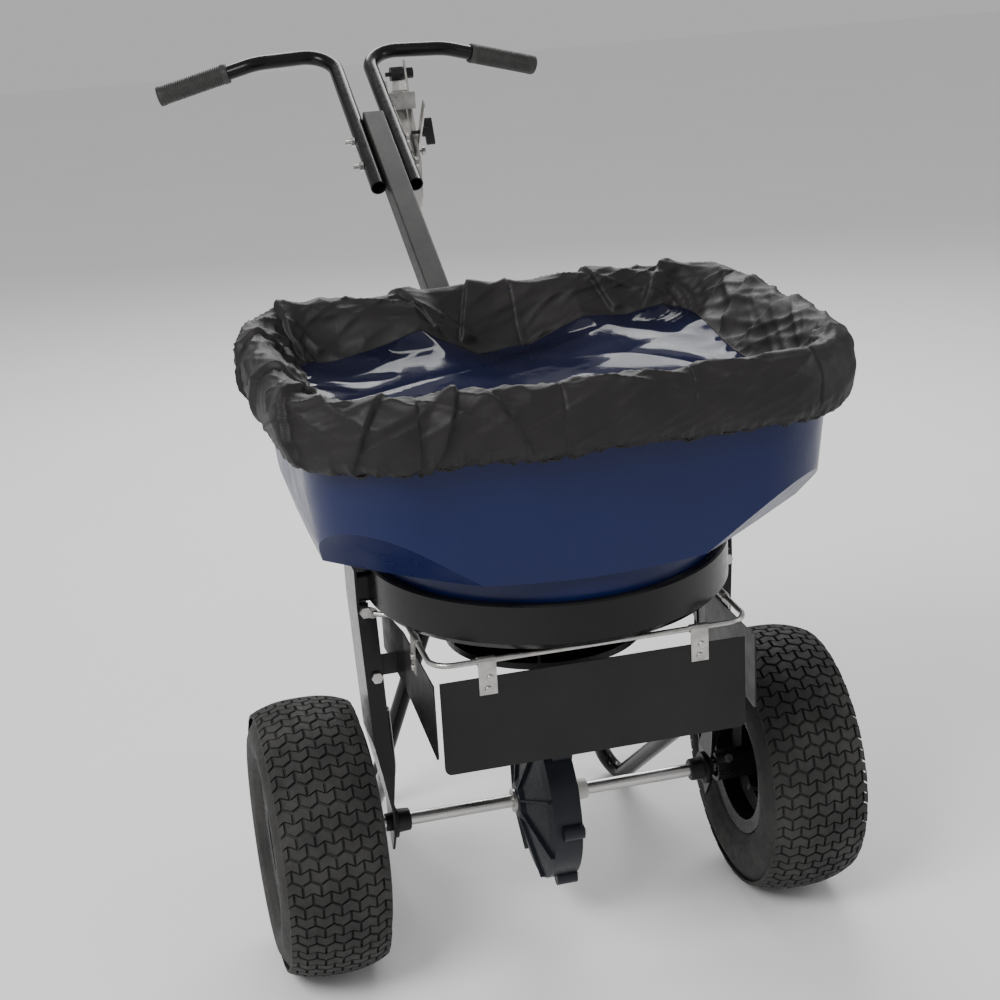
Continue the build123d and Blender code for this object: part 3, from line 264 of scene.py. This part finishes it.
# ---------------------------------------------------------------- mesh helpers
def piece(name, vertices, faces, material, body, smooth=True):
    mesh = bpy.data.meshes.new(name)
    mesh.from_pydata([tuple(v) for v in vertices], [], faces)
    mesh.materials.append(material)
    mesh.validate()
    if smooth:
        mesh.shade_smooth()
    made = bpy.data.objects.new(name, mesh)
    bpy.context.scene.collection.objects.link(made)
    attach(made, body)
    return made


def grid_faces(around, across, start=0, wrap=True):
    """Quads over a grid of vertices stored one row of `across` after another."""
    faces = []
    for i in range(around if wrap else around - 1):
        for j in range(across - 1):
            a = start + i * across + j
            b = start + (i + 1) % around * across + j
            faces.append((a, b, b + 1, a + 1))
    return faces


# ---------------------------------------------------------------- tyres
CROWN = 0.165             # tyre radius at its middle
TREAD_HALF = 0.056
TREAD_DEPTH = 0.0034
ROWS = 72                 # rows of blocks round the tyre; even, so that they close
BLOCK_WIDTH = 0.0204
ZIGZAG = 0.0026
GROOVE = 0.0011           # half the gap between two blocks


def crown_radius(v):
    """Radius of the tread's outer face, v metres from the tyre's middle."""
    return CROWN - 0.0105 * (abs(v) / TREAD_HALF) ** 2.6


def tyre_profile():
    """(offset from the middle, radius) of the tyre's body, from one bead to the other."""
    half = [(0.0468, 0.0768), (0.0491, 0.0903), (0.0520, 0.0918), (0.0556, 0.0945)]
    for k in range(1, 12):
        angle = -1.02 + k * 0.165
        bump = 0.0007 if k in (2, 3, 8) else 0.0
        half.append((0.0382 + 0.0262 * cos(angle) + bump, 0.1215 + 0.0312 * sin(angle)))
    edge = [(s * TREAD_HALF * 0.5, crown_radius(TREAD_HALF * 0.5) - TREAD_DEPTH) for s in (1, 0, -1)]
    edge[1] = (0.0, CROWN - TREAD_DEPTH)
    rim = [(TREAD_HALF * k, crown_radius(TREAD_HALF * k) - TREAD_DEPTH) for k in (0.95, 0.75)]
    mirror = [(-x, r) for x, r in reversed(half + rim)]
    return half + rim + edge + mirror


def tyre_block(vertices, faces, middle, outline):
    """One tread block. outline is six (distance round, distance across) points."""
    start = len(vertices)
    cu = sum(u for u, v in outline) / 6
    cv = sum(v for u, v in outline) / 6
    for lift, shrink in ((-0.0006, 1.0), (TREAD_DEPTH - 0.0007, 0.97), (TREAD_DEPTH, 0.90)):
        for u, v in outline:
            u, v = cu + (u - cu) * shrink, cv + (v - cv) * shrink
            radius = crown_radius(v) - TREAD_DEPTH + lift
            angle = u / CROWN
            vertices.append((middle + v, AXLE_Y + radius * cos(angle), AXLE_Z + radius * sin(angle)))
    for ring in (0, 6):
        for k in range(6):
            a, b = start + ring + k, start + ring + (k + 1) % 6
            faces.append((a, b, b + 6, a + 6))
    top = start + 12
    faces.append((top, top + 1, top + 4, top + 5))
    faces.append((top + 1, top + 2, top + 3, top + 4))


def make_tyre(name, body, middle, material):
    steps = 180
    profile = tyre_profile()
    vertices, faces = [], grid_faces(steps, len(profile))
    for i in range(steps):
        angle = 2 * pi * i / steps
        for x, radius in profile:
            vertices.append((middle + x, AXLE_Y + radius * cos(angle), AXLE_Z + radius * sin(angle)))
    height = 2 * pi * CROWN / ROWS
    for row in range(ROWS):
        low = row * height
        phase = 0.5 * (row % 2)
        peak = ZIGZAG if row % 2 else -ZIGZAG
        for k in range(-4, 4):
            left = (k + phase) * BLOCK_WIDTH
            corners = []
            right = left + BLOCK_WIDTH
            for v, lift in ((left + GROOVE, -peak), ((left + right) / 2, peak), (right - GROOVE, -peak)):
                corners.append((low + GROOVE + lift, max(-0.0585, min(0.0585, v))))
            if corners[2][1] - corners[0][1] < 0.004:
                continue
            outline = corners + [(u + height - 2 * GROOVE, v) for u, v in reversed(corners)]
            tyre_block(vertices, faces, middle, outline)
    tyre = piece(name + "_turf", vertices, faces, material, body, smooth=False)
    for polygon in tyre.data.polygons[: steps * (len(profile) - 1)]:
        polygon.use_smooth = True
    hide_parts(name)


# ---------------------------------------------------------------- grips
def make_grip(name, material):
    """Ribbed sleeve along the plain sleeve that it replaces."""
    points = numpy.array([v.co for v in nodes[name].data.vertices])
    centre = points.mean(axis=0)
    direction = numpy.linalg.svd(points - centre)[2][0]
    reach = (points - centre) @ direction
    centre, direction = Vector(centre), Vector(direction)
    low, high = float(reach.min()), float(reach.max())
    if direction.x * centre.x < 0:
        direction, low, high = -direction, -high, -low
    aside = direction.orthogonal().normalized()
    beside = direction.cross(aside)
    # (place along the grip, radius), from the collar at its inner end to the rounded outer end
    profile = [
        (low, 0.0122), (low, 0.0150), (low + 0.002, 0.0158), (low + 0.009, 0.0158), (low + 0.010, 0.0146),
    ]
    ribs = 26
    pitch = (high - low - 0.022) / ribs
    for k in range(ribs):
        place = low + 0.011 + k * pitch
        for part, radius in ((0.1, 0.0143), (0.3, 0.0155), (0.6, 0.0155), (0.8, 0.0143)):
            profile.append((place + part * pitch, radius))
    profile += [
        (high - 0.010, 0.0157), (high - 0.003, 0.0157), (high - 0.0008, 0.0148), (high, 0.012), (high, 0.0005),
    ]
    steps = 48
    vertices = []
    for i in range(steps):
        angle = 2 * pi * i / steps
        out = aside * cos(angle) + beside * sin(angle)
        for along, radius in profile:
            vertices.append(centre + direction * along + out * radius)
    faces = grid_faces(steps, len(profile))
    grip = piece(name + "_ribbed", vertices, faces, material, "frame")
    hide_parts(name)


# ---------------------------------------------------------------- rain cover
RIM_HALF = 0.304
RIM_FRONT = AXLE_Y - 0.259
RIM_BACK = AXLE_Y + 0.200
FRONT_CORNER = 0.118
BACK_CORNER = 0.084


def rim_point(turn, out):
    """Point round the hopper's rim, turn from 0 to 1, moved out from it, and the way outwards there."""
    middle_y = (RIM_BACK + RIM_FRONT) / 2
    half_y = (RIM_BACK - RIM_FRONT) / 2
    corners = (FRONT_CORNER, FRONT_CORNER, BACK_CORNER, BACK_CORNER)
    # the sides in turn: front, right, back and left, each followed by a corner
    legs = []
    for side in range(4):
        length = 2 * (RIM_HALF if side % 2 == 0 else half_y) - corners[side] - corners[(side + 1) % 4]
        legs += [length, pi / 2 * corners[(side + 1) % 4]]
    along = turn % 1.0 * sum(legs)
    index = 0
    while index < 7 and along > legs[index]:
        along -= legs[index]
        index += 1
    side, part = index // 2, along / legs[index]
    facing = (side - 1) * pi / 2
    normal = Vector((cos(facing), sin(facing), 0))
    tangent = Vector((-normal.y, normal.x, 0))
    reach, half = (half_y, RIM_HALF) if side % 2 == 0 else (RIM_HALF, half_y)
    start = Vector((0, middle_y, 0)) + normal * reach + tangent * (corners[side] - half)
    if index % 2 == 0:
        bow = 0.006 * (1 - (2 * part - 1) ** 2) if side % 2 == 0 else 0.0
        return start + tangent * legs[index] * part + normal * (out + bow), normal
    corner = corners[(side + 1) % 4]
    centre = start + tangent * legs[index - 1] - normal * corner
    turned = normal * cos(part * pi / 2) + tangent * sin(part * pi / 2)
    return centre + turned * (corner + out), turned


# how far out and how high the cover's cloth runs, from its elastic hem to the window's seam
COVER_SECTION = [
    (-0.006, 0.689), (0.002, 0.690), (0.008, 0.694), (0.0125, 0.701), (0.0150, 0.710), (0.0160, 0.720),
    (0.0155, 0.731), (0.0140, 0.741), (0.0110, 0.750), (0.0050, 0.758), (-0.0030, 0.7625), (-0.0110, 0.7610),
    (-0.0170, 0.755), (-0.0225, 0.747), (-0.0280, 0.738), (-0.0345, 0.729), (-0.0420, 0.719),
    (-0.0510, 0.709),
]


def section_at(part):
    """Point of the cover's section, part from 0 at the hem to 1 at the seam."""
    place = part * (len(COVER_SECTION) - 1)
    k = min(int(place), len(COVER_SECTION) - 2)
    blend = place - k
    (x0, z0), (x1, z1) = COVER_SECTION[k], COVER_SECTION[k + 1]
    return x0 + (x1 - x0) * blend, z0 + (z1 - z0) * blend


def smooth_step(x, low, high):
    x = min(1.0, max(0.0, (x - low) / (high - low)))
    return x * x * (3 - 2 * x)


PERIMETER = 2.1
# places round the rim where the cloth folds over itself, how wide, how deep and how slanted
TUCKS = [
    (0.015, 0.012, 0.006, 0.03), (0.045, 0.020, 0.005, -0.05), (0.33, 0.02, 0.004, 0.03),
    (0.40, 0.016, 0.006, -0.04), (0.47, 0.02, 0.006, 0.05), (0.535, 0.024, 0.007, -0.03),
    (0.60, 0.02, 0.006, 0.03), (0.66, 0.018, 0.006, -0.05), (0.72, 0.022, 0.007, 0.04),
    (0.80, 0.02, 0.006, -0.03), (0.86, 0.018, 0.006, 0.05), (0.93, 0.02, 0.008, -0.04),
    (0.975, 0.016, 0.007, 0.03), (0.25, 0.02, 0.005, 0.04),
]
PANEL_SEAMS = (0.075, 0.145, 0.215, 0.42, 0.58, 0.90)


def creases(x, y, z):
    """Noise with sharp ridges, from 0 in the flats to 1 on a ridge."""
    return (1 - min(1.0, 2.2 * abs(noise.noise(Vector((x, y, z)))))) ** 2


def cover_lift(turn, part):
    """How far the cloth stands proud of its section, in metres."""
    hem = 1 - smooth_step(part, 0.0, 0.30)
    s = turn * PERIMETER
    lift = (creases(s * 44, part * 2.0, 1.7) * 0.0034 + creases(s * 90, part * 4.0, 4.1) * 0.0022) * hem
    # soft folds that lean one way and the other, and fine sharp ones across them
    lift += noise.noise(Vector((s * 11 + part * 2.1, part * 1.6, 9.3))) * 0.0040
    lift += creases(s * 13 + part * 5.2, part * 2.0, 6.1) * 0.0044 * smooth_step(part, 0.25, 0.5)
    lift += creases(s * 24 - part * 9.0, part * 2.6, 3.3) * 0.0024
    lift += creases(s * 9 - part * 3.0, part * 5.0, 8.8) * 0.0026 * smooth_step(part, 0.5, 0.8)
    for place, width, depth, slant in TUCKS:
        gap = (turn - place - slant * (part - 0.4) + 0.5) % 1.0 - 0.5
        drop = width * 0.10
        if -width < gap < drop:
            fade = smooth_step(part, 0.05, 0.3) * (1 - smooth_step(part, 0.93, 1.0))
            rise = smooth_step(gap, -width, 0) if gap < 0 else 1 - smooth_step(gap, 0, drop)
            lift += depth * fade * rise
    for place in PANEL_SEAMS:
        gap = ((turn - place + 0.5) % 1.0 - 0.5) * PERIMETER
        lift -= 0.0016 * exp(-(gap / 0.0018) ** 2)
    return max(-0.0015, lift - 0.001)


# the seam's height along the hopper's back, as (x, z): two peaks with a dip between them
SEAM_HEIGHTS = [
    (-0.26, 0.709), (-0.193, 0.705), (-0.150, 0.715), (-0.094, 0.727), (-0.058, 0.706), (-0.027, 0.689),
    (0.040, 0.692), (0.109, 0.720), (0.165, 0.717), (0.210, 0.726), (0.26, 0.712),
]


def seam_drop(turn, point):
    """How far the window's seam stands above its mean height, 0.709."""
    s = turn * 2 * pi
    rest = 0.003 * sin(2 * s + 0.6) + 0.004 * sin(5 * s + 0.4)
    peaks = float(numpy.interp(point.x, *zip(*SEAM_HEIGHTS))) - 0.709
    at_back = smooth_step(point.y, (RIM_FRONT + RIM_BACK) / 2, RIM_BACK - 0.06)
    return rest + (peaks - rest) * at_back


def cover_point(turn, part):
    out, height = section_at(part)
    inner = smooth_step(part, 0.55, 1.0)
    out -= 0.010 * inner * (0.5 + 0.5 * sin(turn * 2 * pi * 3 + 1.0))
    height += seam_drop(turn, rim_point(turn, out)[0]) * inner
    before, after = section_at(max(0.0, part - 0.02)), section_at(min(1.0, part + 0.02))
    slope_out, slope_up = after[0] - before[0], after[1] - before[1]
    length = hypot(slope_out, slope_up)
    lift = cover_lift(turn, part)
    out += lift * slope_up / length
    height += lift * -slope_out / length
    point, normal = rim_point(turn, out)
    point.z = height
    return point


AROUND, ACROSS = 1400, 64


def make_cover(cloth):
    vertices = []
    for i in range(AROUND):
        for j in range(ACROSS):
            vertices.append(cover_point(i / AROUND, j / (ACROSS - 1)))
    cover = piece("cover_cloth", vertices, grid_faces(AROUND, ACROSS), cloth, "cover")
    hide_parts("rain_cover")
    # elastic in the hem, and the stitched edge that holds the window
    for name, part, radius in (("elastic_hem", 0.0, 0.0026), ("window_seam", 1.0, 0.0011)):
        ring = []
        for i in range(AROUND):
            centre = cover_point(i / AROUND, part)
            ahead = cover_point((i + 1) / AROUND, part)
            tangent = (ahead - centre).normalized()
            outward = tangent.cross(Vector((0, 0, 1))).normalized()
            above = outward.cross(tangent)
            for k in range(8):
                angle = 2 * pi * k / 8
                ring.append(centre + (outward * cos(angle) + above * sin(angle)) * radius)
            ring.append(ring[-8].copy())
        piece(name, ring, grid_faces(AROUND, 9), cloth, "cover")


def make_window(vinyl):
    """Clear sheet inside the seam, slack, with long shallow creases."""
    rings, around = 60, 700
    middle = Vector((0, (RIM_BACK + RIM_FRONT) / 2, 0))
    edge = numpy.array([cover_point(i / around, 1.0) for i in range(around)])
    # each ring's height is a mean of the seam's, weighted by nearness, so that the sheet has no centre point
    sheet_rings = []
    for j in range(rings):
        inwards = j / (rings - 1) * 0.998
        ring = edge + (numpy.array(middle) - edge) * inwards
        apart = ((ring[:, None, :2] - edge[None, :, :2]) ** 2).sum(axis=2)
        weight = (apart + 4e-6) ** -1.5
        ring[:, 2] = (weight * edge[None, :, 2]).sum(axis=1) / weight.sum(axis=1) if j else edge[:, 2]
        sheet_rings.append(ring)
    vertices = []
    for i in range(around):
        for j in range(rings):
            x, y, z = sheet_rings[j][i]
            wave = noise.noise(Vector((x * 5, y * 6, 2.0))) * 0.004
            crease = creases(x * 7 + y * 3, y * 4, 7.0) * 0.0022 + creases(x * 5 - y * 9, y * 3, 5.0) * 0.0014
            vertices.append((x, y, z + smooth_step(j / rings, 0.0, 0.2) * (wave + crease - 0.005)))
    window = piece("window_sheet", vertices, grid_faces(around, rings), vinyl, "cover")
    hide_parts("cover_window")


# ---------------------------------------------------------------- making the scene
make_camera()
make_studio()
materials = make_materials()
slots = {row["node"]: row["material_slot"] for row in frame["record"]["subparts"]}
for name, node in nodes.items():
    node.data.materials.clear()
    node.data.materials.append(materials[slots[name]])
for name in ("left", "right"):
    low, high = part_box(name + "_tyre")
    body = "axle" if name == "right" else "left_wheel"
    make_tyre(name + "_tyre", body, (low[0] + high[0]) / 2, materials["tyre_rubber"])
    make_grip(name + "_grip", materials["grip_rubber"])
make_cover(materials["cover_fabric"])
make_window(materials["clear_vinyl"])
